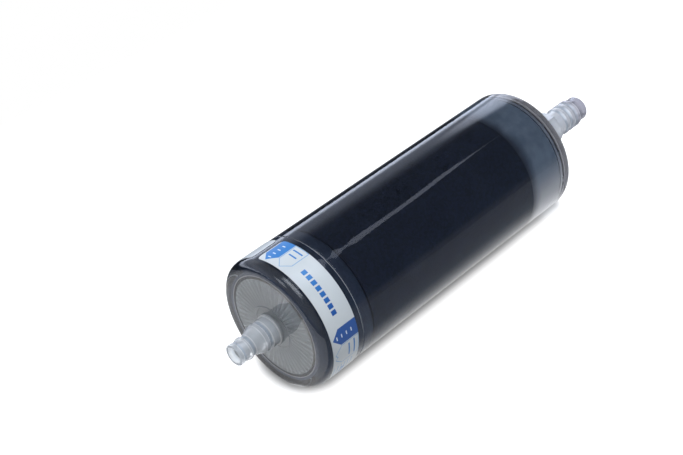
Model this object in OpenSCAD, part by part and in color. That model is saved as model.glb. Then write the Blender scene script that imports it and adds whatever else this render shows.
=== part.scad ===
// Carbon capsule filter for gas and liquid lines.
// A clear bonded housing holds a bed of carbon granules between a pad with its
// spreader plate at the inlet and a filter disc with its support plate at the outlet.
// Flow runs from the ridged inlet barb (+X) to the stepped outlet barb (-X).
// Stations are measured along the axis from the outlet face of the housing.

/* [Housing] */
// Outside radius of the housing
housing_r = 33; // [27:0.5:45]
// Length of the housing, outlet face to inlet face
housing_len = 176.8; // [120:0.2:300]
// Wall of the tube
tube_wall = 3; // [2:0.1:4.5]
// Thickness of the inlet end wall
end_wall = 3.2; // [2.4:0.1:6]
// Round on the inlet corner of the housing
inlet_round = 3.7; // [1.5:0.1:6]
// Length of the boss that takes the inlet fitting
boss_len = 14.5; // [8:0.5:22]
// Radius of that boss
boss_r = 11.5; // [10.5:0.1:15]

/* [Outlet cap] */
// Length of the cap that shows, face to seam
cap_len = 24.6; // [22:0.2:40]
// Length of the cap's spigot inside the tube
spigot_len = 8; // [4:0.5:14]
// Wall of that spigot
spigot_wall = 2; // [1.2:0.1:3]
// Thickness of the flat end face
face_wall = 3; // [2:0.1:5]
// Round on the outlet corner of the cap
outlet_round = 4.6; // [2:0.1:6.5]
// Depth of the groove at the bonded seam
seam_groove = 0.35; // [0.1:0.05:0.8]
// Number of drainage ribs behind the face
rib_count = 48; // [16:4:60]
// Height of the drainage ribs
rib_h = 1.5; // [0.8:0.1:3]
// Thickness of the drainage ribs
rib_t = 0.9; // [0.5:0.1:1]
// Radius of the hub that the ribs start from
rib_hub_r = 10.5; // [10:0.1:13]

/* [Filter disc and plates] */
// Thickness of the round wall that holds the disc
disc_wall = 1.4; // [0.8:0.1:2.5]
// Width of the ring of granules between that wall and the cap
granule_ring = 1.85; // [1:0.05:5]
// Thickness of the filter disc
disc_t = 1.2; // [0.5:0.1:3]
// Thickness of the two perforated plates
plate_t = 1.6; // [1:0.1:4]
// Radius of the holes in the plates
plate_hole_r = 1.2; // [0.5:0.1:1.6]
// Distance between the rings of holes
plate_pitch = 4.2; // [3.6:0.1:7]
// Length of the retaining pad at the inlet
pad_len = 22; // [8:0.5:40]
// Height of the spacers that hold the inlet plate off the end wall
spacer_h = 2.6; // [1:0.1:6]
// Number of those spacers
spacer_count = 12; // [4:1:24]

/* [Label] */
// Width of the label along the housing
label_w = 15.7; // [8:0.1:16.5]
// Bare width between the rounded corner and the label
label_margin = 0.8; // [0.2:0.1:1.8]
// Thickness of the label film
label_t = 0.15; // [0.1:0.01:0.4]
// Angle left open between the two ends of the label
label_gap_angle = 7; // [2:0.5:60]
// Angle of the middle of that gap, from +Y towards +Z
label_gap_at = 62.5; // [0:0.5:360]
// Round on the corners of the label
label_round = 2; // [0.5:0.1:4]

/* [Outlet barb] */
// Radius of the bore through the outlet fitting
outlet_bore_r = 3.9; // [2:0.1:4]
// Radius of the small hose ridge
small_ridge_r = 5.55; // [5.3:0.05:6]
// Radius of the large hose ridge
large_ridge_r = 7.15; // [6.9:0.05:7.5]
// Length of the outlet fitting outside the face
outlet_fitting_len = 22.8; // [22.6:0.1:30]
// Radius of the flange against the face
outlet_flange_r = 8; // [7.7:0.1:9.5]

/* [Inlet barb] */
// Radius of the bore through the inlet fitting
inlet_bore_r = 4.6; // [2.5:0.1:4.8]
// Width across the flats of the hexagon
hex_af = 18; // [16:0.1:20]
// Length of the hexagon
hex_len = 10; // [6:0.5:14]
// Turn at which the screwed-in hexagon came to rest
hex_turn = 17.5; // [0:0.5:60]
// Radius of the hose ridges
inlet_ridge_r = 7.5; // [7.2:0.05:8]
// Number of short ridges before the tip
ridge_count = 3; // [1:1:5]
// Distance between two ridges
ridge_pitch = 4.4; // [3.6:0.1:6]

/* [Fits] */
// Clearance of round parts bonded into each other
bond_gap = 0.05; // [0.02:0.01:0.15]
// Clearance of the loose pieces inside the housing
inner_gap = 0.1; // [0.05:0.01:0.3]

/* [Hidden] */

round_fn = 96;
small_fn = 48;
hole_fn = 16;
hex_sides = 6;
// Run of every cutter past the face that it cuts
over = 1;

// Housing
tube_inner_r = housing_r - tube_wall;
tube_inner_round = 1.5;
boss_foot_h = 2;
boss_foot_r = boss_r + boss_foot_h;
boss_edge = 0.8;
inlet_neck_r = 6.6;
cavity_end = housing_len - end_wall;

// Outlet cap
spigot_r = tube_inner_r - bond_gap;
cap_inner_r = spigot_r - spigot_wall;
spigot_end = cap_len + spigot_len;
spigot_lead = 0.5;
outlet_neck_r = 5.6;
disc_wall_r = cap_inner_r - granule_ring - disc_wall;
disc_r = disc_wall_r - inner_gap;
disc_from = face_wall + rib_h;
outlet_plate_from = disc_from + disc_t;
bed_from = outlet_plate_from + plate_t;
face_land_w = 1.2;
face_land_r = rib_hub_r + face_land_w;
face_land_h = 0.3;

// Inlet side of the bed
inlet_plate_to = cavity_end - spacer_h;
inlet_plate_from = inlet_plate_to - plate_t;
bed_to = inlet_plate_from - pad_len;
plate_r = tube_inner_r - inner_gap;
spacer_w = 1.6;
spacer_len = 8;
plate_rim = 1.6;

// Label
label_from_face = outlet_round + label_margin;
label_skin_gap = 0.03;
label_inner_r = housing_r + label_skin_gap;
label_outer_r = label_inner_r + label_t;
degrees_all_round = 360;
// Distance of a corner's centre from the label's edges, as a share of its radius
corner_share = 0.92;
label_corner_in = label_round * corner_share;
label_corner_angle = asin(label_corner_in / label_outer_r);

// Outlet fitting: steps down in radius, and heights above the outlet face
flange_h = 1.5;
flange_step = 0.8;
collar_r = outlet_flange_r - flange_step;
collar_h = 5.1;
waist_step = 0.65;
waist_r = large_ridge_r - waist_step;
waist_from = 5.6;
waist_to = 6.7;
large_ridge_from = 7.2;
large_ridge_to = 9.3;
large_cone_to = 14;
small_ridge_step = 0.5;
outlet_stem_r = small_ridge_r - small_ridge_step;
small_step_from = 14.8;
small_ridge_from = 15.4;
small_ridge_to = 16.9;
small_cone_to = 18.4;
tip_groove_to = 19.9;
tip_bead_from = 20.4;
tip_bead_step = 0.2;
tip_bead_r = outlet_stem_r + tip_bead_step;
tip_edge = 0.5;
tip_lip_r = tip_bead_r - tip_edge;
edge_break = 0.3;
mouth_flare = 0.35;

// Inlet fitting: steps in radius, and heights above the end of the boss
hex_flat_r = hex_af / 2;
hex_corner_r = hex_flat_r / cos(degrees_all_round / (2 * hex_sides));
hex_chamfer_h = 0.8;
inlet_ridge_step = 0.65;
inlet_stem_r = inlet_ridge_r - inlet_ridge_step;
inlet_stem_len = 6.7;
first_ridge_from = hex_len + inlet_stem_len;
ridge_rise = 1.2;
ridge_land = 1.5;
tip_from = first_ridge_from + ridge_count * ridge_pitch;
tip_shoulder = 1.8;
tip_len = 5.7;
tip_step = 1;
tip_r = inlet_ridge_r - tip_step;
tip_round = 1;
tip_round_turn = 15;

// Puts a shape turned about Z on the axis of the filter, at a station, facing the inlet
module at_station(s) {
    translate([s - housing_len / 2, 0, 0]) rotate([0, 90, 0]) children();
}

// The same, but facing out of the outlet end
module out_of_outlet() {
    translate([-housing_len / 2, 0, 0]) rotate([0, -90, 0]) children();
}

// Half section of a solid drum of the given length, with its first corner rounded
module round_drum_section(r, len, corner) {
    square([r - corner, len]);
    translate([0, corner]) square([r, len - corner]);
    translate([r - corner, corner]) circle(r = corner, $fn = round_fn);
}

// Rings of holes, with a middle hole, as far as the holes stay inside reach
module ring_holes(reach, depth) {
    rings = floor((reach - plate_hole_r) / plate_pitch);
    translate([0, 0, -over]) cylinder(r = plate_hole_r, h = depth + 2 * over, $fn = hole_fn);
    for (ring = [1 : rings], i = [0 : hex_sides * ring - 1])
        rotate([0, 0, i * degrees_all_round / (hex_sides * ring)])
            translate([ring * plate_pitch, 0, -over])
                cylinder(r = plate_hole_r, h = depth + 2 * over, $fn = hole_fn);
}

// Half section of the closed end of the tube, measured from the seam
module tube_section() {
    len = housing_len - cap_len;
    difference() {
        translate([0, len]) mirror([0, 1]) round_drum_section(housing_r, len, inlet_round);
        translate([0, -over]) square([tube_inner_r - tube_inner_round, len - end_wall + over]);
        translate([0, -over]) square([tube_inner_r, len - end_wall - tube_inner_round + over]);
        translate([tube_inner_r - tube_inner_round, len - end_wall - tube_inner_round])
            circle(r = tube_inner_round, $fn = small_fn);
        polygon([
            [housing_r - seam_groove, 0],
            [housing_r + over, 0],
            [housing_r + over, seam_groove + over],
            [housing_r, seam_groove]
        ]);
    }
}

// Clear tube with its closed inlet end and the boss for the inlet fitting
module housing_tube() color([0.55, 0.6, 0.66, 0.45]) difference() {
    union() {
        at_station(cap_len) rotate_extrude($fn = round_fn) tube_section();
        at_station(housing_len) rotate_extrude($fn = round_fn) polygon([
            [0, -over],
            [boss_foot_r, -over],
            [boss_foot_r, 0],
            [boss_r, boss_foot_h],
            [boss_r, boss_len - boss_edge],
            [boss_r - boss_edge, boss_len],
            [0, boss_len]
        ]);
    }
    at_station(cavity_end - over)
        cylinder(r = inlet_neck_r, h = end_wall + boss_len + 2 * over, $fn = round_fn);
}

// Half section of the outlet cap, face first, with the spigot that enters the tube
module cap_section() {
    difference() {
        union() {
            round_drum_section(housing_r, cap_len, outlet_round);
            square([spigot_r, spigot_end - spigot_lead]);
            polygon([
                [0, spigot_end - 2 * spigot_lead],
                [spigot_r, spigot_end - 2 * spigot_lead],
                [spigot_r, spigot_end - spigot_lead],
                [spigot_r - spigot_lead, spigot_end],
                [0, spigot_end]
            ]);
            translate([0, -face_land_h]) square([face_land_r, face_land_h + over]);
        }
        difference() {
            translate([0, face_wall]) square([cap_inner_r, spigot_end]);
            translate([disc_wall_r, 0]) square([disc_wall, bed_from]);
        }
        polygon([
            [housing_r - seam_groove, cap_len],
            [housing_r + over, cap_len],
            [housing_r + over, cap_len - seam_groove - over],
            [housing_r, cap_len - seam_groove]
        ]);
    }
}

// The sunburst of ribs that holds the filter disc off the face, with its hub
module drainage_ribs() {
    rib_root = face_wall - over;
    at_station(rib_root) cylinder(r = rib_hub_r, h = rib_h + over, $fn = round_fn);
    for (i = [0 : rib_count - 1])
        rotate([i * degrees_all_round / rib_count, 0, 0])
            translate([rib_root - housing_len / 2, rib_hub_r - over, -rib_t / 2])
                cube([rib_h + over, disc_wall_r - rib_hub_r + 2 * over, rib_t]);
}

// Clear cap: flat face, rounded corner, drainage ribs, disc wall and spigot
module outlet_cap() color([0.62, 0.66, 0.7, 0.45]) difference() {
    union() {
        at_station(0) rotate_extrude($fn = round_fn) cap_section();
        drainage_ribs();
    }
    at_station(-over)
        cylinder(r = outlet_neck_r, h = face_wall + rib_h + 2 * over, $fn = round_fn);
}

// Stepped hose barb at the outlet: flange, collar, large ridge, small ridge, beaded tip
module outlet_fitting() color([0.82, 0.85, 0.89, 0.8])
    out_of_outlet() rotate_extrude($fn = round_fn) polygon([
        [outlet_bore_r, -face_wall - rib_h],
        [outlet_neck_r - bond_gap, -face_wall - rib_h],
        [outlet_neck_r - bond_gap, face_land_h],
        [outlet_flange_r, face_land_h],
        [outlet_flange_r, flange_h - edge_break],
        [outlet_flange_r - edge_break, flange_h],
        [collar_r, flange_h],
        [collar_r, collar_h - edge_break],
        [collar_r - edge_break, collar_h],
        [waist_r, waist_from],
        [waist_r, waist_to],
        [large_ridge_r, large_ridge_from],
        [large_ridge_r, large_ridge_to],
        [outlet_stem_r, large_cone_to],
        [outlet_stem_r, small_step_from],
        [small_ridge_r, small_ridge_from],
        [small_ridge_r, small_ridge_to],
        [outlet_stem_r, small_cone_to],
        [outlet_stem_r, tip_groove_to],
        [tip_bead_r, tip_bead_from],
        [tip_bead_r, outlet_fitting_len - tip_edge],
        [tip_lip_r, outlet_fitting_len],
        [outlet_bore_r + mouth_flare, outlet_fitting_len],
        [outlet_bore_r, outlet_fitting_len - mouth_flare]
    ]);

// One hose ridge as outline points: a short rise, a flat land and a long fall to the stem
function ridge_points(i) = let (
    from = first_ridge_from + i * ridge_pitch
) [
    [inlet_stem_r, from],
    [inlet_ridge_r, from + ridge_rise],
    [inlet_ridge_r, from + ridge_rise + ridge_land]
];

// Hexagon with its corners chamfered at the far face
module hexagon_collar() rotate([0, 0, hex_turn]) intersection() {
    cylinder(r = hex_corner_r, h = hex_len, $fn = hex_sides);
    rotate_extrude($fn = round_fn) polygon([
        [0, 0],
        [2 * hex_corner_r - hex_flat_r, 0],
        [2 * hex_corner_r - hex_flat_r, hex_len - 2 * hex_chamfer_h],
        [hex_flat_r, hex_len],
        [0, hex_len]
    ]);
}

// Ridged hose barb at the inlet, with its hexagon and the neck bonded into the boss
module inlet_fitting() color([0.82, 0.85, 0.89, 0.8])
    at_station(housing_len + boss_len) difference() {
        union() {
            translate([0, 0, -boss_len - end_wall])
                cylinder(r = inlet_neck_r - bond_gap, h = boss_len + end_wall + over, $fn = round_fn);
            hexagon_collar();
            rotate_extrude($fn = round_fn) polygon(concat(
                [[0, hex_len - over], [inlet_stem_r, hex_len - over]],
                [for (i = [0 : ridge_count - 1]) each ridge_points(i)],
                [[tip_r, tip_from + tip_shoulder]],
                [for (turn = [0 : tip_round_turn : degrees_all_round / 4]) [
                    tip_r - tip_round * (1 - cos(turn)),
                    tip_from + tip_len - tip_round * (1 - sin(turn))
                ]],
                [[0, tip_from + tip_len]]
            ));
        }
        translate([0, 0, -boss_len - end_wall - over])
            cylinder(r = inlet_bore_r, h = boss_len + end_wall + tip_from + tip_len + 2 * over,
                $fn = round_fn);
    }

// Everything beyond the round of a label corner, to be cut away
// side is 1 for the end before the gap and -1 for the end after it; end is 1 at the far edge
module label_corner(side, end) {
    turn = label_gap_at - side * (label_gap_angle / 2 + label_corner_angle);
    s = label_from_face + label_w / 2 + end * (label_w / 2 - label_corner_in);
    rotate([turn, 0, 0]) translate([s - housing_len / 2, 0, 0]) difference() {
        translate([end > 0 ? 0 : -label_round - over, 0, side > 0 ? 0 : -label_round - over])
            cube([label_round + over, label_outer_r + over, label_round + over]);
        rotate([-90, 0, 0])
            cylinder(r = label_round, h = label_outer_r + 2 * over, $fn = small_fn);
    }
}

// Printed film label round the cap, open between its two ends
module label_band() color([0.8, 0.85, 0.9]) difference() {
    at_station(label_from_face)
        rotate([0, 0, label_gap_at + label_gap_angle / 2 + degrees_all_round / 4])
            rotate_extrude(angle = degrees_all_round - label_gap_angle, $fn = round_fn)
                translate([label_inner_r, 0]) square([label_t, label_w]);
    for (side = [-1, 1], end = [-1, 1]) label_corner(side, end);
}

// Glass-fibre disc that keeps carbon dust out of the outlet
module filter_disc() color([0.9, 0.9, 0.87])
    at_station(disc_from) cylinder(r = disc_r, h = disc_t, $fn = round_fn);

// Perforated plate that backs the filter disc
module outlet_plate() color([0.86, 0.87, 0.88])
    at_station(outlet_plate_from) difference() {
        cylinder(r = disc_r, h = plate_t, $fn = round_fn);
        ring_holes(disc_r - plate_rim, plate_t);
    }

// Packed bed of carbon granules, filling the cap round the disc wall and then the tube
module carbon_bed() color([0.1, 0.12, 0.16])
    at_station(0) rotate_extrude($fn = round_fn) difference() {
        union() {
            translate([0, face_wall + inner_gap])
                square([cap_inner_r - inner_gap, spigot_end]);
            translate([0, spigot_end + inner_gap])
                square([tube_inner_r - inner_gap, bed_to - spigot_end - inner_gap]);
        }
        square([disc_wall_r + disc_wall + inner_gap, bed_from]);
    }

// Wadding pad that keeps the granules packed
module inlet_pad() color([0.55, 0.58, 0.63])
    at_station(bed_to) cylinder(r = plate_r, h = pad_len, $fn = round_fn);

// Perforated plate that spreads the flow over the pad, on its spacers
module inlet_plate() color([0.86, 0.87, 0.88])
    at_station(inlet_plate_from) {
        difference() {
            cylinder(r = plate_r, h = plate_t, $fn = round_fn);
            ring_holes(plate_r - plate_rim, plate_t);
        }
        for (i = [0 : spacer_count - 1])
            rotate([0, 0, i * degrees_all_round / spacer_count])
                translate([plate_r - tube_inner_round - spacer_len, -spacer_w / 2, plate_t])
                    cube([spacer_len, spacer_w, spacer_h]);
    }

housing_tube();
outlet_cap();
outlet_fitting();
inlet_fitting();
label_band();
filter_disc();
outlet_plate();
carbon_bed();
inlet_pad();
inlet_plate();
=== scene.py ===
"""Looks of a clear carbon capsule filter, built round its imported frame."""

import math

import bmesh
import bpy
from mathutils import Matrix, Vector


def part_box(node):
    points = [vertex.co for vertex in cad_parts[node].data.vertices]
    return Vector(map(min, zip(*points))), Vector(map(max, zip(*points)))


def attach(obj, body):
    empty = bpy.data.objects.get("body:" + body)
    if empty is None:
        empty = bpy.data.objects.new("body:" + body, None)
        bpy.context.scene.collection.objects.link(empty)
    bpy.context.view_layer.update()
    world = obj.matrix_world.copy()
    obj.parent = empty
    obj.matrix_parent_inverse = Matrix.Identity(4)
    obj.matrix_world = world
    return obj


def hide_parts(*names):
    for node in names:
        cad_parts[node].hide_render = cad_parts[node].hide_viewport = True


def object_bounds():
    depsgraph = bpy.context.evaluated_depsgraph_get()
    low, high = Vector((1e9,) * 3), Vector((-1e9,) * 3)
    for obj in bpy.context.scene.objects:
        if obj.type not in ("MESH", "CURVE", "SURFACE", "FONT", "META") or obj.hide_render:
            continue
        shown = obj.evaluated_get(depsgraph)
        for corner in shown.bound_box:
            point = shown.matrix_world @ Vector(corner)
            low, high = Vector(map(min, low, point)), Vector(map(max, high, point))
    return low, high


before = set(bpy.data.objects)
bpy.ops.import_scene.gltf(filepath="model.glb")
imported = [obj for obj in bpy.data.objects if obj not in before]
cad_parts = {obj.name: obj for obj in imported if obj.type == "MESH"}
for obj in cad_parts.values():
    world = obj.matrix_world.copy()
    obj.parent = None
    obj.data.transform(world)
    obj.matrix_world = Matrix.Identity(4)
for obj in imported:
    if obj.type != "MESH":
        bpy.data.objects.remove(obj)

cad_low, cad_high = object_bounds()

MM = 0.001

# Boxes of the solids, each as its low and its high corner
tube_low, tube_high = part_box("housing_tube")
cap_low, cap_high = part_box("outlet_cap")
outlet_low, outlet_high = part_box("outlet_fitting")
inlet_low, inlet_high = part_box("inlet_fitting")
label_low, label_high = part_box("label_band")
disc_low, disc_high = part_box("filter_disc")
bed_low, bed_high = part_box("carbon_bed")
pad_low, pad_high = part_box("inlet_pad")

# Stations on the axis. +X runs from the outlet barb to the inlet barb.
FACE_LAND_H = 0.3 * MM
OUTLET_TIP = outlet_low.x
OUTLET_FACE = cap_low.x + FACE_LAND_H
RIB_TOP = outlet_high.x
SEAM = tube_low.x
SPIGOT_END = cap_high.x
INNER_FACE = inlet_low.x
INLET_FACE = -OUTLET_FACE
BOSS_END = tube_high.x
INLET_TIP = inlet_high.x

# Clearances of bonded pieces and of loose ones
BOND_GAP = 0.05 * MM
INNER_GAP = 0.1 * MM

# Housing
HOUSING_R = tube_high.z
TUBE_WALL = 3 * MM
TUBE_INNER_R = HOUSING_R - TUBE_WALL
INLET_ROUND = 3.7 * MM
BOSS_R = 11.5 * MM
BOSS_FOOT = 2 * MM
INLET_NECK_R = 6.6 * MM

# Cap
OUTLET_ROUND = 4.6 * MM
SEAM_GROOVE = 0.35 * MM
SPIGOT_WALL = 2 * MM
SPIGOT_R = TUBE_INNER_R - BOND_GAP
CAP_INNER_R = SPIGOT_R - SPIGOT_WALL
CAP_INNER_ROUND = 3 * MM
OUTLET_NECK_R = 5.6 * MM
FACE_WALL = 3 * MM
FACE_LAND_R = 11.7 * MM
RIB_COUNT = 48
RIB_H = 1.5 * MM
RIB_HUB_R = 10.5 * MM
DISC_WALL = 1.4 * MM
DISC_WALL_R = disc_high.z + INNER_GAP
DISC_WALL_OUTER_R = DISC_WALL_R + DISC_WALL
DISC_WALL_END = OUTLET_FACE + 7.3 * MM

# Hexagon of the inlet fitting
HEX_SIDES = 6
HEX_FLAT_R = 9 * MM
HEX_TURN = math.radians(17.5)

# Label
LABEL_CORNER = 2 * MM
LABEL_GAP = math.radians(7)
LABEL_GAP_AT = math.radians(62.5)
GLUE_LINE = 0.03 * MM

# Distance within which two corners are merged into one
MERGE = 1e-7
# Slack when the place of a corner or a face is compared
HAIR = 0.01 * MM
# Distance from an arc at which the straight run beside it gets a point of its own
SUPPORT = 0.1 * MM

# Places in a shell's list of materials: its own, then the inner finishes, then the painted highlight of
# the seam groove on the outside
OWN, CONTACT, SEAT, END_WALL, PAINTED_SEAM_HIGHLIGHT = range(5)

WHITE = (1, 1, 1, 1)
ACRYLIC_TINT = (0.93, 0.95, 0.97, 1)
PLASTIC_IOR = 1.49

# Camera of the photograph
CAMERA_AT = Vector((-0.35127, -0.29669, 0.41630))
CAMERA_AIM = Vector((0.534551, 0.516013, -0.669317))
CAMERA_LENS = 68.03
SENSOR = 36
CLIP_START = 0.01

# Table that the filter lies on, in a painted pool of light: pale grey, painted dark grey from just
# behind the filter
TABLE_LOW = Vector((-0.9, -0.9))
TABLE_HIGH = Vector((0.9, 0.25))
PALE_GREY = (0.38, 0.38, 0.38, 1)
PAINTED_DARK_GREY = (0.02, 0.02, 0.02, 1)

# Patch of painted shadow that the filter lies in, with a wider round at its outlet end
SHADE_MIDDLE = 7.2 * MM
SHADE_HALF_LENGTH = 95.5 * MM
SHADE_HALF_WIDTH = 20 * MM
SHADE_INLET_ROUND = 5 * MM
SHADE_OUTLET_ROUND = 18 * MM

# Lamps and wall of the studio
LAMP_TINT = (0.86, 0.95, 1.08, 1)
WALL_TINT = (0.75, 0.82, 1, 1)
SIDE_LAMP_AT = (-0.719, 0.3, 0.627)
LAMP_LEVEL = 5
SIDE_LAMP_LEVEL = 3
STRIP_LEVEL = 1.5
WALL_LEVEL = 1.22


# Mesh tools

def rounded(corners, steps=6):
    """Turns (x, radius, round) corners into a closed outline whose corners are arcs.

    A point close to each end of an arc keeps the straight run beside it flat in shading.
    """
    outline = []
    count = len(corners)
    for i, (x, r, fillet) in enumerate(corners):
        here = Vector((x, r))
        if fillet == 0:
            outline.append(here)
            continue
        before = Vector(corners[i - 1][:2]) - here
        after = Vector(corners[(i + 1) % count][:2]) - here
        room_before, room_after = before.length / 2, after.length / 2
        before.normalize()
        after.normalize()
        half = before.angle(after) / 2
        reach = fillet / math.tan(half)
        centre = here + (before + after).normalized() * fillet / math.sin(half)
        first = here + before * reach - centre
        last = here + after * reach - centre
        turn = first.angle_signed(last)
        if reach + SUPPORT < room_before:
            outline.append(here + before * (reach + SUPPORT))
        for step in range(steps + 1):
            angle = -turn * step / steps
            spoke = Vector((
                first.x * math.cos(angle) - first.y * math.sin(angle),
                first.x * math.sin(angle) + first.y * math.cos(angle),
            ))
            outline.append(centre + spoke)
        if reach + SUPPORT < room_after:
            outline.append(here + after * (reach + SUPPORT))
    return outline


def turned(outline, steps=192, closed=True):
    """Spins an outline of (x, radius) points about the X axis into a closed shell."""
    bm = bmesh.new()
    verts = [bm.verts.new((p[0], p[1], 0)) for p in outline]
    edges = [bm.edges.new(pair) for pair in zip(verts, verts[1:])]
    if closed:
        edges.append(bm.edges.new((verts[-1], verts[0])))
    bmesh.ops.spin(
        bm, geom=verts + edges, cent=(0, 0, 0), axis=(1, 0, 0),
        angle=2 * math.pi, steps=steps, use_merge=True,
    )
    return bm


def along(base, corners):
    """Shifts corners given in millimetres from a station to places on the axis."""
    return [(base + x * MM, r * MM, fillet * MM) for x, r, fillet in corners]


def from_axis(place):
    """Distance of a place from the axis."""
    return math.hypot(place.y, place.z)


def soften(bm, sharp_angle):
    """Shades every face smooth, apart from edges that turn more than the given angle."""
    for face in bm.faces:
        face.smooth = True
    for edge in bm.edges:
        if len(edge.link_faces) == 2:
            edge.smooth = edge.calc_face_angle() < math.radians(sharp_angle)


def finish_piece(bm, name, material, node, sharp_angle=32, finish=None):
    """Writes a bmesh to a new object that rides on the body and stands for a node.

    finish tells by station and radius which place in the list of materials a face has.
    """
    bmesh.ops.remove_doubles(bm, verts=bm.verts, dist=MERGE)
    bmesh.ops.recalc_face_normals(bm, faces=bm.faces)
    soften(bm, sharp_angle)
    if finish:
        for face in bm.faces:
            middle = face.calc_center_median()
            face.material_index = finish(middle.x, from_axis(middle))
    mesh = bpy.data.meshes.new(name)
    bm.to_mesh(mesh)
    bm.free()
    mesh.materials.append(material)
    if finish:
        for other in FINISHES:
            mesh.materials.append(other)
    piece = bpy.data.objects.new(name, mesh)
    bpy.context.scene.collection.objects.link(piece)
    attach(piece, "root")
    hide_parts(node)
    return piece


# Shader tools

class Socket:
    """A shader value that can be used in sums, products and comparisons."""

    def __init__(self, tree, link):
        self.tree = tree
        self.link = link

    def math(self, operation, *others, clamp=False):
        return self.tree.node(
            "ShaderNodeMath", (self,) + others, operation=operation, use_clamp=clamp
        )

    def __add__(self, other):
        return self.math("ADD", other)

    __radd__ = __add__

    def __sub__(self, other):
        return self.math("SUBTRACT", other)

    def __rsub__(self, other):
        return self.tree.node("ShaderNodeMath", (other, self), operation="SUBTRACT")

    def __mul__(self, other):
        return self.math("MULTIPLY", other)

    def __truediv__(self, other):
        return self.math("DIVIDE", other)

    def __pow__(self, other):
        return self.math("POWER", other)

    def __lt__(self, other):
        return self.math("LESS_THAN", other)

    def __gt__(self, other):
        return self.math("GREATER_THAN", other)

    def __neg__(self):
        return self.math("MULTIPLY", -1)

    def __abs__(self):
        return self.math("ABSOLUTE")

    def clamp(self):
        """The value held between 0 and 1."""
        return self.math("ADD", 0, clamp=True)

    def at_least(self, other):
        return self.math("MAXIMUM", other)

    def at_most(self, other):
        return self.math("MINIMUM", other)

    def ramp(self, low, high):
        """Smooth step from 0 at low to 1 at high."""
        return self.tree.node(
            "ShaderNodeMapRange", {"Value": self, "From Min": low, "From Max": high},
            interpolation_type="SMOOTHSTEP",
        )

    def fall(self, low, high):
        """Smooth step from 1 at low to 0 at high."""
        return 1 - self.ramp(low, high)

    def near(self, middle, inner, outer):
        """1 as far as inner from a middle value, with a smooth step to 0 at outer."""
        return abs(self - middle).fall(inner, outer)

    def within(self, middle, reach):
        """1 where the value is less than reach from a middle value."""
        return abs(self - middle) < reach

    def between(self, low, high):
        """1 where the value is more than low and less than high."""
        return (self > low) * (self < high)

    def repeats(self, start, pitch):
        """How far the value is through its period, from 0 to 1."""
        return ((self - start) / pitch).math("FLOORED_MODULO", 1.0)


class Tree:
    """The nodes of one material or world."""

    def __init__(self, owner):
        owner.use_nodes = True
        self.tree = owner.node_tree
        self.tree.nodes.clear()

    def node(self, kind, inputs=(), output=0, **settings):
        """Adds a node, sets it up, feeds its sockets and returns one output."""
        node = self.tree.nodes.new(kind)
        for name, value in settings.items():
            setattr(node, name, value)
        named = inputs.items() if isinstance(inputs, dict) else enumerate(inputs)
        for key, value in named:
            self.feed(node.inputs[key], value)
        return Socket(self, node.outputs[output]) if len(node.outputs) else None

    def feed(self, socket, value):
        """Links a shader value to a socket, or sets the socket to a plain value."""
        if isinstance(value, Socket):
            self.tree.links.new(value.link, socket)
        else:
            socket.default_value = value

    def split(self, vector):
        """The three values of a vector."""
        parts = self.tree.nodes.new("ShaderNodeSeparateXYZ")
        self.feed(parts.inputs[0], vector)
        return [Socket(self, output) for output in parts.outputs]

    def place(self):
        """Object coordinates in metres, as a vector and as three values."""
        where = self.node("ShaderNodeTexCoord", output="Object")
        return where, self.split(where)

    def seen_directly(self):
        """1 for what the lens sees, directly or through clear plastic."""
        camera = self.node("ShaderNodeLightPath", output="Is Camera Ray")
        return (camera + self.node("ShaderNodeLightPath", output="Is Transmission Ray")).clamp()

    def seen_mirrored(self):
        """1 for what polished faces mirror."""
        return self.node("ShaderNodeLightPath", output="Is Glossy Ray")

    def background(self, colour, strength):
        return self.node("ShaderNodeBackground", {"Color": colour, "Strength": strength})

    def sum(self, first, second):
        """Adds two shaders."""
        return self.node("ShaderNodeAddShader", (first, second))

    def mix(self, share, first, second):
        """Blends two colours by a share from 0 to 1."""
        node = self.tree.nodes.new("ShaderNodeMix")
        node.data_type = "RGBA"
        for key, value in ((0, share), (6, first), (7, second)):
            self.feed(node.inputs[key], value)
        return Socket(self, node.outputs[2])

    def noise(self, where, scale, detail=2.0, roughness=0.5):
        return self.node(
            "ShaderNodeTexNoise",
            {"Vector": where, "Scale": scale, "Detail": detail, "Roughness": roughness},
        )

    def grains(self, where, scale, output):
        return self.node("ShaderNodeTexVoronoi", {"Vector": where, "Scale": scale}, output)

    def bump(self, height, strength, distance):
        return self.node(
            "ShaderNodeBump", {"Height": height, "Strength": strength, "Distance": distance}
        )

    def principled(self, **sockets):
        """A principled shader, with its sockets named in small letters."""
        named = {key.replace("_", " ").title().replace("Ior", "IOR"): value
                 for key, value in sockets.items()}
        return self.node("ShaderNodeBsdfPrincipled", named)

    def surface(self, shader):
        self.node("ShaderNodeOutputMaterial", {"Surface": shader})

    def end_world(self, shader):
        self.node("ShaderNodeOutputWorld", {"Surface": shader})


def new_material(name):
    material = bpy.data.materials.new(name)
    return material, Tree(material)


def rgb(red, green, blue):
    """An sRGB colour from 0 to 255 as a linear colour."""
    return tuple(((c / 255 + 0.055) / 1.055) ** 2.4 for c in (red, green, blue)) + (1,)


# Materials

def clear_acrylic(name):
    """Polished clear acrylic with faint handling haze."""
    material, tree = new_material(name)
    where, _ = tree.place()
    haze = tree.noise(where, 160, 4).ramp(0.45, 0.8)
    tree.surface(tree.principled(
        base_color=ACRYLIC_TINT, roughness=haze * 0.015 + 0.01,
        ior=PLASTIC_IOR, transmission_weight=1.0,
    ))
    return material


def contact_face(name):
    """A face in full contact with its neighbour, where light passes straight on."""
    material, tree = new_material(name)
    tree.surface(tree.principled(alpha=0.0, roughness=0.5))
    return material


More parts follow.
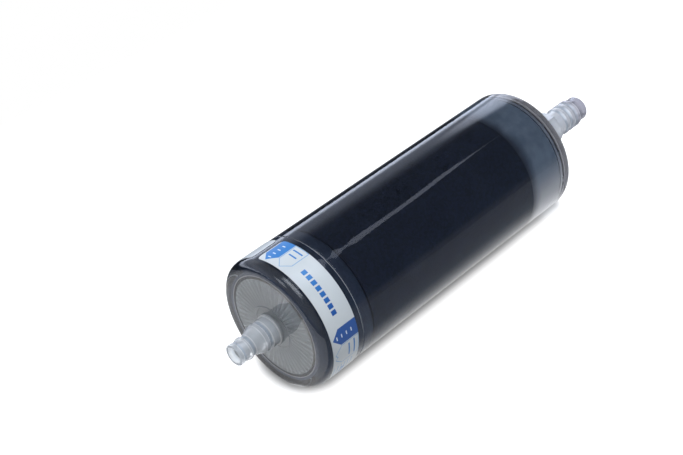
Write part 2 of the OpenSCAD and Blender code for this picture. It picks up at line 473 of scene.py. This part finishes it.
def matt_face(name, colour, alpha):
    """A matt inner face of a clear moulding, which veils what lies behind it."""
    material, tree = new_material(name)
    where, _ = tree.place()
    cloud = tree.noise(where, 60, 3).ramp(0.3, 0.7)
    spread = 0.06
    tree.surface(tree.principled(
        base_color=colour, roughness=0.7, specular_ior_level=0.1,
        alpha=cloud * spread + (alpha - spread / 2),
    ))
    return material


def natural_plastic(name, tones, crests, hollows, tip=None):
    """Natural polypropylene: milky, clouded, with a painted highlight on its crests and painted shade
    in its hollows.

    crests and hollows are stations on the axis. tip is where a greyer end starts and is full.
    """
    tip_grey = rgb(178, 178, 191)
    painted_hollow_shade, hollow_reach = rgb(196, 206, 218), 0.9 * MM
    painted_crest_highlight, crest_reach = rgb(252, 254, 255), 0.3 * MM
    outer_faces = (4.7 * MM, 5.0 * MM)
    material, tree = new_material(name)
    where, (x, y, z) = tree.place()
    cloud = tree.noise(where, 140, 3)
    tint = tree.mix(cloud.ramp(0.3, 0.7), *tones)
    if tip:
        tint = tree.mix(x.ramp(*tip), tint, tip_grey)
    outside = ((y ** 2 + z ** 2) ** 0.5).ramp(*outer_faces)
    # Painted highlights along the crests and painted shade along the hollows, on the outer faces only
    for stations, reach, colour in (
        (hollows, hollow_reach, painted_hollow_shade), (crests, crest_reach, painted_crest_highlight),
    ):
        nearest = abs(x - stations[0])
        for station in stations[1:]:
            nearest = nearest.at_most(abs(x - station))
        tint = tree.mix(nearest.fall(reach * 0.3, reach) * outside, tint, colour)
    tree.surface(tree.principled(
        base_color=tint, roughness=cloud * 0.05 + 0.05, ior=PLASTIC_IOR,
        transmission_weight=0.62, normal=tree.bump(cloud, 0.03, 0.6 * MM),
    ))
    return material


def granular_carbon(name):
    """Packed black granules with dull facets and a little pale dust."""
    grain_scale = 900
    material, tree = new_material(name)
    where, (x, _, _) = tree.place()
    grain = tree.grains(where, grain_scale, "Distance")
    tone = tree.node("ShaderNodeSeparateColor", [tree.grains(where, grain_scale, "Color")])
    dust = tree.noise(where, 60, 3).ramp(0.5, 0.8)
    tint = tree.mix(tone, rgb(26, 34, 48), rgb(34, 42, 60))
    # Painted light: the granules are made paler where they are seen through the thicker cap
    in_cap = x.fall(SPIGOT_END - 0.2 * MM, SPIGOT_END + 0.2 * MM)
    tint = tree.mix(in_cap, tint, tree.mix(tone, rgb(43, 53, 72), rgb(51, 61, 80)))
    tint = tree.mix(dust * 0.2, tint, rgb(48, 58, 76))
    tree.surface(tree.principled(
        base_color=tint, roughness=tone * 0.3 + 0.6, specular_ior_level=0.1,
        normal=tree.bump(grain, 0.3, 0.4 * MM),
    ))
    return material


def wadding(name):
    """Grey wadding, darker where carbon dust has worked in from the bed, with painted light from the
    pale table on its underside.
    """
    material, tree = new_material(name)
    where, (x, _, z) = tree.place()
    clump = tree.noise(where, 90, 4)
    fibre = tree.noise(where, 900, 2, 0.7)
    uneven = clump * (4 * MM)
    dusty = (x + uneven).fall(pad_low.x, pad_low.x + 9 * MM)
    # Painted light: lighter towards the bottom, where the pale table lights the pad
    below = (z + uneven).fall(-6 * MM, 19 * MM)
    tint = tree.mix(clump.ramp(0.3, 0.7), rgb(78, 93, 113), rgb(97, 112, 132))
    tint = tree.mix(below, tint, PAINTED_LIGHT_BELOW)
    tint = tree.mix(dusty, tint, rgb(25, 34, 52))
    tree.surface(tree.principled(
        base_color=tint, roughness=0.9, normal=tree.bump(fibre, 0.4, 0.5 * MM),
    ))
    return material


def glass_fibre(name):
    """Off-white fibre felt of the filter disc, behind the ribs of the cap."""
    material, tree = new_material(name)
    where, _ = tree.place()
    felt = tree.noise(where, 700, 3, 0.7)
    cloud = tree.noise(where, 70, 2).ramp(0.35, 0.7)
    tree.surface(tree.principled(
        base_color=tree.mix(cloud, rgb(112, 114, 114), rgb(132, 133, 131)),
        roughness=0.85, normal=tree.bump(felt, 0.3, 0.4 * MM),
    ))
    return material


def matt_plate(name):
    """Matt grey plastic of the perforated plates, with painted light from the pale table on their
    underside like the wadding.
    """
    material, tree = new_material(name)
    where, (_, _, z) = tree.place()
    cloud = tree.noise(where, 120, 3)
    tint = tree.mix(cloud.ramp(0.3, 0.7), rgb(92, 102, 120), rgb(108, 117, 134))
    # Painted light: lighter towards the bottom, where the pale table lights the plate
    tint = tree.mix(z.fall(-6 * MM, 17 * MM), tint, PAINTED_LIGHT_BELOW)
    tree.surface(tree.principled(
        base_color=tint, roughness=cloud * 0.15 + 0.4, normal=tree.bump(cloud, 0.1, 0.5 * MM),
    ))
    return material


def printed_film(name):
    """Pale label film with full arrows, empty arrows, a graded row of blocks and thin rules."""
    ink_light = rgb(54, 130, 202)
    ink_deep = rgb(36, 88, 164)
    ink_pale = rgb(112, 168, 214)
    tick_white = rgb(226, 238, 248)
    paper_dark, paper_light = rgb(209, 215, 218), rgb(216, 221, 223)

    material, tree = new_material(name)
    where, (x, y, z) = tree.place()
    angle = tree.node("ShaderNodeMath", (z, y), operation="ARCTAN2")

    # Place on the label in millimetres: round it from the nearest full arrow, and up its width.
    # The print repeats with a period, which starts a little before each full arrow.
    first, period, lead = math.radians(74.1), math.radians(88.8), math.radians(12)
    round_mm = (angle.repeats(first - lead, period) * period - lead) * (HOUSING_R / MM)
    high_mm = (x - label_low.x) / MM
    label_mm = (label_high.x - label_low.x) / MM
    second_half = ((angle > math.radians(120)) + (angle < math.radians(-60))).clamp()

    # Arrows that point to the outlet
    arrow_half, arrow_tip, tip_slope, tip_inset = 4.1, 0.95, 1.02, 1.3
    empty_at, line_outer, line_inner = 8.4, 0.12, 0.42

    def pentagon(centre, inset):
        """1 inside an arrow, drawn smaller by inset."""
        away = abs(round_mm - centre)
        edge = (high_mm - (arrow_tip + inset * tip_inset)) - away * tip_slope
        return (away < arrow_half - inset) * (edge > 0) * (high_mm < label_mm - inset)

    paper = tree.mix(tree.noise(where, 80, 2).ramp(0.3, 0.7), paper_dark, paper_light)
    tint = tree.mix(pentagon(0, 0), paper, tree.mix(second_half, ink_light, ink_deep))
    line = pentagon(empty_at, line_outer) - pentagon(empty_at, line_inner)
    tint = tree.mix(line.clamp(), tint, ink_pale)

    # White ticks in the full arrows
    tick_half, tick_from, tick_to, tick_pitch, tick_share = 0.9, 3.2, 14.2, 2.9, 0.2
    tick = (abs(round_mm) < tick_half) * high_mm.between(tick_from, tick_to)
    tick = tick * (high_mm.repeats(tick_from, tick_pitch) < tick_share)
    tint = tree.mix(tick, tint, tick_white)

    # Two short bars in the empty ones
    bars_at, bar_half = 8.2, 0.4
    low_bar = high_mm.within(9.6, bar_half) * round_mm.within(bars_at, 2.2)
    high_bar = high_mm.within(12.8, bar_half) * round_mm.within(bars_at, 2.8)
    tint = tree.mix(low_bar + high_bar, tint, ink_light)

    # A row of plain blocks that goes from light to deep blue, left out near the label's end
    row_from, row_to, row_at, row_half, block_pitch, block_share = 17.0, 41.6, 6.9, 1.35, 3.08, 0.72
    block = round_mm.between(row_from, row_to) * high_mm.within(row_at, row_half)
    block = block * (round_mm.repeats(row_from, block_pitch) < block_share)
    block = block * (1 - angle.between(math.radians(-19), LABEL_GAP_AT))
    tint = tree.mix(block, tint, tree.mix(round_mm.ramp(row_from, row_to), ink_light, ink_deep))

    # Thin rules after the empty arrow of the second group
    rules_at, rule_half, rules_from, rule_pitch, rule_share, top_margin = 17.5, 3.4, 1.2, 2.1, 0.22, 2.0
    rule = round_mm.within(rules_at, rule_half) * second_half
    rule = rule * (high_mm.repeats(rules_from, rule_pitch) < rule_share)
    rule = rule * high_mm.between(rules_from, label_mm - top_margin)
    tint = tree.mix(rule, tint, ink_pale)

    tree.surface(tree.principled(
        base_color=tint, roughness=0.32, coat_weight=0.3,
        normal=tree.bump(tree.noise(where, 240, 2), 0.05, 0.4 * MM),
    ))
    return material


# Painted light on the packing's underside, where the pale table lights it from below
PAINTED_LIGHT_BELOW = rgb(186, 187, 192)

FINISHES = [
    contact_face("contact_face"),
    matt_face("matt_seat", rgb(163, 169, 174), 0.6),
    matt_face("matt_end_wall", rgb(158, 158, 165), 0.85),
    # Near-white, almost opaque faces on the seam groove: a painted highlight of the seam line
    matt_face("seam_painted_highlight", rgb(222, 230, 240), 0.95),
]
ACRYLIC_TUBE = clear_acrylic("clear_acrylic_tube")
ACRYLIC_CAP = clear_acrylic("clear_acrylic_cap")
NATURAL_OUTLET = natural_plastic(
    "natural_polypropylene_outlet", (rgb(216, 220, 224), rgb(228, 231, 235)),
    crests=[OUTLET_FACE - x * MM for x in (1.5, 5.1, 7.3, 9.3, 13.8, 16.2, 17.2, 20.9)],
    hollows=[OUTLET_FACE - x * MM for x in (6.1, 15, 20.2)],
)
NATURAL_INLET = natural_plastic(
    "natural_polypropylene_inlet", (rgb(230, 234, 241), rgb(238, 240, 244)),
    crests=[BOSS_END + x * MM for x in (10, 19.3, 23.7, 28.1)],
    hollows=[BOSS_END + x * MM for x in (16.9, 21.3, 25.7)],
    tip=(BOSS_END + 24 * MM, BOSS_END + 29 * MM),
)
CARBON = granular_carbon("granular_carbon")
WADDING = wadding("carbon_dusted_wadding")
FELT = glass_fibre("glass_fibre_felt")
PLATE = matt_plate("matt_natural_plate")
FILM = printed_film("printed_label_film")


# Pieces

def make_housing():
    """Clear tube with its closed inlet end and boss."""
    outline = rounded([
        (SEAM, TUBE_INNER_R, 0.1 * MM),
        (SEAM, HOUSING_R - SEAM_GROOVE, 0.05 * MM),
        (SEAM + SEAM_GROOVE, HOUSING_R, 0.15 * MM),
        (INLET_FACE, HOUSING_R, INLET_ROUND),
        (INLET_FACE, BOSS_R + BOSS_FOOT, 1.0 * MM),
        (INLET_FACE + BOSS_FOOT, BOSS_R, 1.0 * MM),
        (BOSS_END, BOSS_R, 0.8 * MM),
        (BOSS_END, INLET_NECK_R, 0.1 * MM),
        (INNER_FACE, INLET_NECK_R, 0.1 * MM),
        (INNER_FACE, TUBE_INNER_R, 1.5 * MM),
    ], steps=10)

    def finish(x, radius):
        if radius < INLET_NECK_R + HAIR or x < SEAM + HAIR:
            return CONTACT
        if radius < TUBE_INNER_R + HAIR and x < INNER_FACE + HAIR:
            return CONTACT if x < pad_high.x else END_WALL
        return OWN

    finish_piece(
        turned(outline, steps=384), "housing_shell", ACRYLIC_TUBE, "housing_tube",
        finish=finish,
    )


def make_cap():
    """Clear cap with its drainage ribs raised out of the spun face."""
    steps_per_rib = 8
    steps = RIB_COUNT * steps_per_rib
    rib_sink = 0.05 * MM
    ribs_from_r = RIB_HUB_R + 2.5 * MM
    ribs_to_r = DISC_WALL_R - 1 * MM
    seat = OUTLET_FACE + FACE_WALL
    veil_end = seat + 1.5 * MM
    hub_top = RIB_TOP - rib_sink
    land = OUTLET_FACE - FACE_LAND_H
    bm = turned(rounded([
        (OUTLET_FACE, HOUSING_R, OUTLET_ROUND),
        (SEAM - SEAM_GROOVE, HOUSING_R, 0.15 * MM),
        (SEAM, HOUSING_R - SEAM_GROOVE, 0.05 * MM),
        (SEAM, SPIGOT_R, 0.1 * MM),
        (SPIGOT_END, SPIGOT_R, 0.5 * MM),
        (SPIGOT_END, CAP_INNER_R, 0.2 * MM),
        (seat, CAP_INNER_R, CAP_INNER_ROUND),
        (seat, DISC_WALL_OUTER_R, 0.3 * MM),
        (DISC_WALL_END, DISC_WALL_OUTER_R, 0.3 * MM),
        (DISC_WALL_END, DISC_WALL_R, 0.3 * MM),
        (seat, DISC_WALL_R, 0),
        (seat, ribs_to_r, 0),
        (seat, ribs_from_r, 0),
        (seat, RIB_HUB_R, 0),
        (hub_top, RIB_HUB_R, 0),
        (hub_top, OUTLET_NECK_R, 0.1 * MM),
        (land, OUTLET_NECK_R, 0.1 * MM),
        (land, FACE_LAND_R, 0.25 * MM),
        (OUTLET_FACE, FACE_LAND_R, 0.15 * MM),
    ], steps=10), steps=steps)
    bmesh.ops.remove_doubles(bm, verts=bm.verts, dist=MERGE)
    # Lifts the rings of the seat between hub and wall into waves, one to a rib
    for vert in bm.verts:
        on_seat = abs(vert.co.x - seat) < HAIR
        if on_seat and RIB_HUB_R + HAIR < from_axis(vert.co) < DISC_WALL_R - HAIR:
            turns = math.atan2(vert.co.z, vert.co.y) / (2 * math.pi)
            share = (round(turns * steps) % steps_per_rib) / steps_per_rib
            wave = (1 + math.cos(2 * math.pi * share)) / 2
            vert.co.x += (RIB_H - rib_sink) * wave

    def finish(x, radius):
        if radius < OUTLET_NECK_R + HAIR:
            return CONTACT
        before_tube = x < SEAM - HAIR
        # The seam groove's faces carry the painted highlight of the seam line
        if radius > SPIGOT_R + HAIR and SEAM - SEAM_GROOVE < x and before_tube:
            return PAINTED_SEAM_HIGHLIGHT
        if x < seat - HAIR or (radius > SPIGOT_R + HAIR and before_tube):
            return OWN
        if radius < DISC_WALL_R - HAIR and x < RIB_TOP + HAIR:
            return SEAT
        beside_bed = radius > DISC_WALL_OUTER_R and x < veil_end
        return END_WALL if beside_bed else CONTACT

    finish_piece(bm, "cap_shell", ACRYLIC_CAP, "outlet_cap", finish=finish)


def make_outlet_barb():
    """Stepped hose barb with its flange, collar, two ridges and beaded tip."""
    root = (OUTLET_FACE - RIB_TOP) / MM
    land = FACE_LAND_H / MM
    tip = (OUTLET_FACE - OUTLET_TIP) / MM
    neck_r = (OUTLET_NECK_R - BOND_GAP) / MM
    bore_r, flange_r, collar_r, waist_r = 3.9, 8, 7.2, 6.5
    large_r, small_r, throat_r, bead_r = 7.15, 5.6, 4.95, 5.25
    # Height of each corner above the outlet face, its radius and its round
    heights = [
        (root, bore_r, 0.2), (root, neck_r, 0.2), (land, neck_r, 0.05),
        (land, flange_r, 0.1), (0.7, flange_r, 0), (1.5, 7.9, 0.15),
        (1.5, collar_r, 0.2), (4.2, collar_r, 0), (5.1, 7.1, 0.15),
        (5.6, waist_r, 0.2), (6.7, waist_r, 0.2),
        (7.2, large_r, 0.2), (9.3, large_r, 0.25), (14, 5.05, 0.3), (15.6, 5.0, 0.15),
        (16.2, small_r, 0.15), (17.2, small_r, 0.2), (19.4, throat_r, 0.2), (20.3, throat_r, 0.15),
        (20.8, bead_r, 0.15), (tip, bead_r, 0.5), (tip, bore_r, 0.35),
    ]
    outline = rounded(along(OUTLET_FACE, [(-x, r, fillet) for x, r, fillet in heights]), steps=4)
    finish_piece(turned(outline), "outlet_barb", NATURAL_OUTLET, "outlet_fitting")


def make_inlet_barb():
    """Hose barb with a chamfered hexagon, three short ridges and a plain round tip."""
    inner = (INNER_FACE - BOSS_END) / MM
    tip = (INLET_TIP - BOSS_END) / MM
    hex_end, chamfer = 10.0, 0.8
    neck_r = (INLET_NECK_R - BOND_GAP) / MM
    bore_r, stem_r, crest_r, tip_r = 4.6, 6.85, 7.5, 6.5
    flat_r = HEX_FLAT_R / MM
    corner_r = flat_r / math.cos(math.pi / HEX_SIDES)
    rise, land_end = 1.2, 2.7
    ridges = []
    for foot in (16.7, 21.1, 25.5):
        ridges += [
            (foot, stem_r, 0.25), (foot + rise, crest_r, 0.3), (foot + land_end, crest_r, 0.3),
        ]
    heights = [
        (inner, bore_r, 0.2), (inner, neck_r, 0.2), (0, neck_r, 0), (0, corner_r, 0.3),
        (hex_end / 2, corner_r, 0), (hex_end - chamfer, corner_r, 0),
        (hex_end, flat_r, 0.15), (hex_end, stem_r, 0.3),
    ] + ridges + [(31.7, tip_r, 0.8), (tip, tip_r, 1.0), (tip, bore_r, 0.4)]
    bm = turned(rounded(along(BOSS_END, heights), steps=4))
    # Presses the round drum of the hexagon onto its flats
    side = 2 * math.pi / HEX_SIDES
    for vert in bm.verts:
        radius = from_axis(vert.co)
        angle = math.atan2(vert.co.z, vert.co.y)
        limit = HEX_FLAT_R / math.cos(angle - round(angle / side) * side)
        if radius > limit:
            vert.co.y *= limit / radius
            vert.co.z *= limit / radius
    bmesh.ops.rotate(bm, verts=bm.verts, matrix=Matrix.Rotation(HEX_TURN, 3, "X"))
    finish_piece(bm, "inlet_barb", NATURAL_INLET, "inlet_fitting", sharp_angle=20)


def make_label():
    """Film label: a strip with rounded corners, wrapped round the cap and given its thickness."""
    inner_r = HOUSING_R + GLUE_LINE
    thick = label_high.z - inner_r
    width = label_high.x - label_low.x
    start = LABEL_GAP_AT + LABEL_GAP / 2
    sweep = 2 * math.pi - LABEL_GAP
    corner_angle = LABEL_CORNER / inner_r
    bm = bmesh.new()
    bmesh.ops.create_grid(bm, x_segments=288, y_segments=24, size=0.5)
    for vert in bm.verts:
        u = vert.co.x + 0.5
        v = vert.co.y + 0.5
        # The strip narrows at its ends along a quarter circle
        from_end = min(u, 1 - u) * sweep
        share = max(0, 1 - from_end / corner_angle)
        inset = LABEL_CORNER * (1 - math.sqrt(max(0, 1 - share * share)))
        angle = start + u * sweep
        x = label_low.x + inset + v * (width - 2 * inset)
        vert.co = Vector((x, inner_r * math.cos(angle), inner_r * math.sin(angle)))
    bmesh.ops.recalc_face_normals(bm, faces=bm.faces)
    bmesh.ops.solidify(bm, geom=bm.faces[:], thickness=-thick)
    finish_piece(bm, "wrap_label", FILM, "label_band", sharp_angle=50)


def make_bed():
    """Packed granules: a drum of small faces that fills the tube and the inside of the cap."""
    step = 1.2 * MM
    recess_r = DISC_WALL_OUTER_R + INNER_GAP
    cap_r = CAP_INNER_R - INNER_GAP
    shoulder = SPIGOT_END + INNER_GAP

    outline = []
    corners = [
        (DISC_WALL_END, 0), (DISC_WALL_END, recess_r), (bed_low.x, recess_r), (bed_low.x, cap_r),
        (shoulder, cap_r), (shoulder, bed_high.z), (bed_high.x, bed_high.z), (bed_high.x, 0),
    ]
    for (x0, r0), (x1, r1) in zip(corners, corners[1:]):
        count = max(1, round(math.hypot(x1 - x0, r1 - r0) / step))
        outline += [
            (x0 + (x1 - x0) * i / count, r0 + (r1 - r0) * i / count) for i in range(count)
        ]
    outline.append(corners[-1])
    bm = turned(outline, steps=160, closed=False)
    finish_piece(bm, "granule_bed", CARBON, "carbon_bed")


def drum(low, high, first_round, last_round):
    """A solid drum between two stations, with its two corners rounded."""
    outline = rounded([
        (low.x, 0, 0), (low.x, high.z, first_round), (high.x, high.z, last_round), (high.x, 0, 0),
    ])
    return turned(outline, closed=False)


def make_pad():
    """Round wadding pad with a soft edge."""
    bm = drum(pad_low, pad_high, 0.5 * MM, 1.2 * MM)
    pad = finish_piece(bm, "wadding_pad", WADDING, "inlet_pad")


def make_disc():
    """Glass-fibre disc with a rounded edge."""
    bm = drum(disc_low, disc_high, 0.3 * MM, 0.3 * MM)
    finish_piece(bm, "fibre_disc", FELT, "filter_disc")


def paint_plates():
    """Gives the two perforated plates, which are shown as their solids, their plastic."""
    for plate in ("outlet_plate", "inlet_plate"):
        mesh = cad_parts[plate].data
        mesh.materials.clear()
        mesh.materials.append(PLATE)


# Stage

def make_floor():
    """Table top with a painted pool of light and a painted shadow under the filter. To the lens and
    through clear plastic it is white.
    """
    bm = bmesh.new()
    bmesh.ops.create_grid(bm, x_segments=1, y_segments=1, size=0.5)
    width = TABLE_HIGH - TABLE_LOW
    bmesh.ops.scale(bm, verts=bm.verts, vec=(width.x, width.y, 1))
    middle = (TABLE_LOW + TABLE_HIGH) / 2
    bmesh.ops.translate(bm, verts=bm.verts, vec=(middle.x, middle.y, cad_low.z))
    mesh = bpy.data.meshes.new("floor")
    bm.to_mesh(mesh)
    bm.free()
    floor = bpy.data.objects.new("floor", mesh)
    bpy.context.scene.collection.objects.link(floor)

    material, tree = new_material("white_floor")
    _, (x, y, _) = tree.place()
    # Distance outside the rounded patch of painted shadow
    more_round = SHADE_OUTLET_ROUND - SHADE_INLET_ROUND
    corner = (-x).ramp(30 * MM, 50 * MM) * more_round + SHADE_INLET_ROUND
    past_end = (abs(x - SHADE_MIDDLE) + corner - SHADE_HALF_LENGTH).at_least(0)
    beside = (abs(y) + corner - SHADE_HALF_WIDTH).at_least(0)
    away = (past_end ** 2 + beside ** 2) ** 0.5 - corner
    # Painted shade: the table's colour goes dark behind the filter, where mirrors also see no glow
    behind = y.ramp(40 * MM, 150 * MM)
    # Painted shadow for the lens: white paper round the shade. A painted glow for mirrors: its nearest
    # part and the outlet's
    paper = away.ramp(-2.5 * MM, 5 * MM) * 0.83 + 0.17
    # Painted glow near the filter and before its outlet, seen only in mirrors
    painted_glow_near = away.ramp(-3 * MM, 5.5 * MM) * away.fall(4 * MM, 44 * MM) * 0.75
    mirrored = painted_glow_near.at_least((-x).ramp(INLET_FACE, INLET_FACE + 8 * MM) * 0.95)
    seen = tree.seen_directly() * paper + tree.seen_mirrored() * mirrored * (1 - behind)
    lit = tree.node("ShaderNodeBsdfDiffuse", {"Color": tree.mix(behind, PALE_GREY, PAINTED_DARK_GREY)})
    tree.surface(tree.sum(
        lit, tree.node("ShaderNodeEmission", {"Color": WHITE, "Strength": seen})
    ))
    mesh.materials.append(material)


def make_world():
    """The studio as the object meets it: a lit wall behind, lamps overhead, dark ends.

    x, y and z are the direction that light comes from, each from -1 to 1.
    """
    world = bpy.data.worlds.new("studio")
    bpy.context.scene.world = world
    tree = Tree(world)
    direction = tree.node("ShaderNodeTexCoord", output="Generated")
    x, y, z = tree.split(direction)

    # Dim room, darkest towards the inlet end
    outlet_side = x.fall(0.25, 0.5) * z.ramp(-0.1, 0.3) * 0.55
    inlet_end = x.ramp(0.7, 0.85) * 0.25
    front = (-y).ramp(0.6, 0.9) * z.fall(0.0, 0.15) * 0.25
    room = outlet_side + inlet_end + front + 0.03

    # Broad lamp overhead, and a small one beside the outlet end
    lamp = x.near(-0.02, 0.16, 0.38) * y.near(-0.07, 0.2, 0.42) * z.ramp(0.7, 0.8)
    towards = tree.node(
        "ShaderNodeVectorMath", (direction, SIDE_LAMP_AT), 1, operation="DOT_PRODUCT"
    )
    side_lamp = towards.ramp(0.978, 0.99)

    # White wall behind the table, brightest at its foot and at its inlet end
    foot = z.ramp(-0.26, -0.15) * z.fall(-0.12, 0.03) * 1.7
    wall = (z.fall(0.2, 0.56) * 0.55 + foot) * z.ramp(-0.26, -0.18)
    spread = x.ramp(0.6, 0.68) * 0.16
    wall = wall + z.near(0.25, spread, spread + 0.14) * x.ramp(0.605, 0.665) * 2.2
    wall = wall * y.ramp(0.35, 0.6)

    # Thin strip of light overhead towards the inlet end, wider before its two necks
    necks = 1 - x.near(0.529, 0.001, 0.008) * 0.65 - x.near(0.5155, 0.001, 0.005) * 0.8
    half = (0.56 - x).at_least(0) * 1.2 + x.fall(0.507, 0.513) * 0.05 + 0.046
    half = half * necks * x.fall(0.6, 0.645)
    middle = x.ramp(0.57, 0.62) * 0.05 + 0.024
    strip = y.near(middle, half - 0.01, half + 0.008) * x.ramp(0.40, 0.44) * z.ramp(0.5, 0.6)
    strip = strip * (1.2 - x.ramp(0.507, 0.513) * 0.2)

    studio = tree.sum(
        tree.background(WHITE, room),
        tree.background(LAMP_TINT, lamp * LAMP_LEVEL + side_lamp * SIDE_LAMP_LEVEL),
    )
    studio = tree.sum(
        studio, tree.background(WALL_TINT, (wall + strip * STRIP_LEVEL) * WALL_LEVEL)
    )
    white = tree.background(WHITE, 1.0)
    tree.end_world(tree.node("ShaderNodeMixShader", (tree.seen_directly(), studio, white)))


def make_camera():
    """Camera of the photograph."""
    data = bpy.data.cameras.new("camera")
    data.lens = CAMERA_LENS
    data.sensor_width = SENSOR
    data.clip_start = CLIP_START
    camera = bpy.data.objects.new("camera", data)
    camera.location = CAMERA_AT
    camera.rotation_mode = "QUATERNION"
    camera.rotation_quaternion = CAMERA_AIM.to_track_quat("-Z", "Y")
    bpy.context.scene.collection.objects.link(camera)
    bpy.context.scene.camera = camera


make_housing()
make_cap()
make_outlet_barb()
make_inlet_barb()
make_label()
make_bed()
make_pad()
make_disc()
paint_plates()
make_floor()
make_world()
make_camera()
bpy.context.scene.view_settings.view_transform = "Standard"
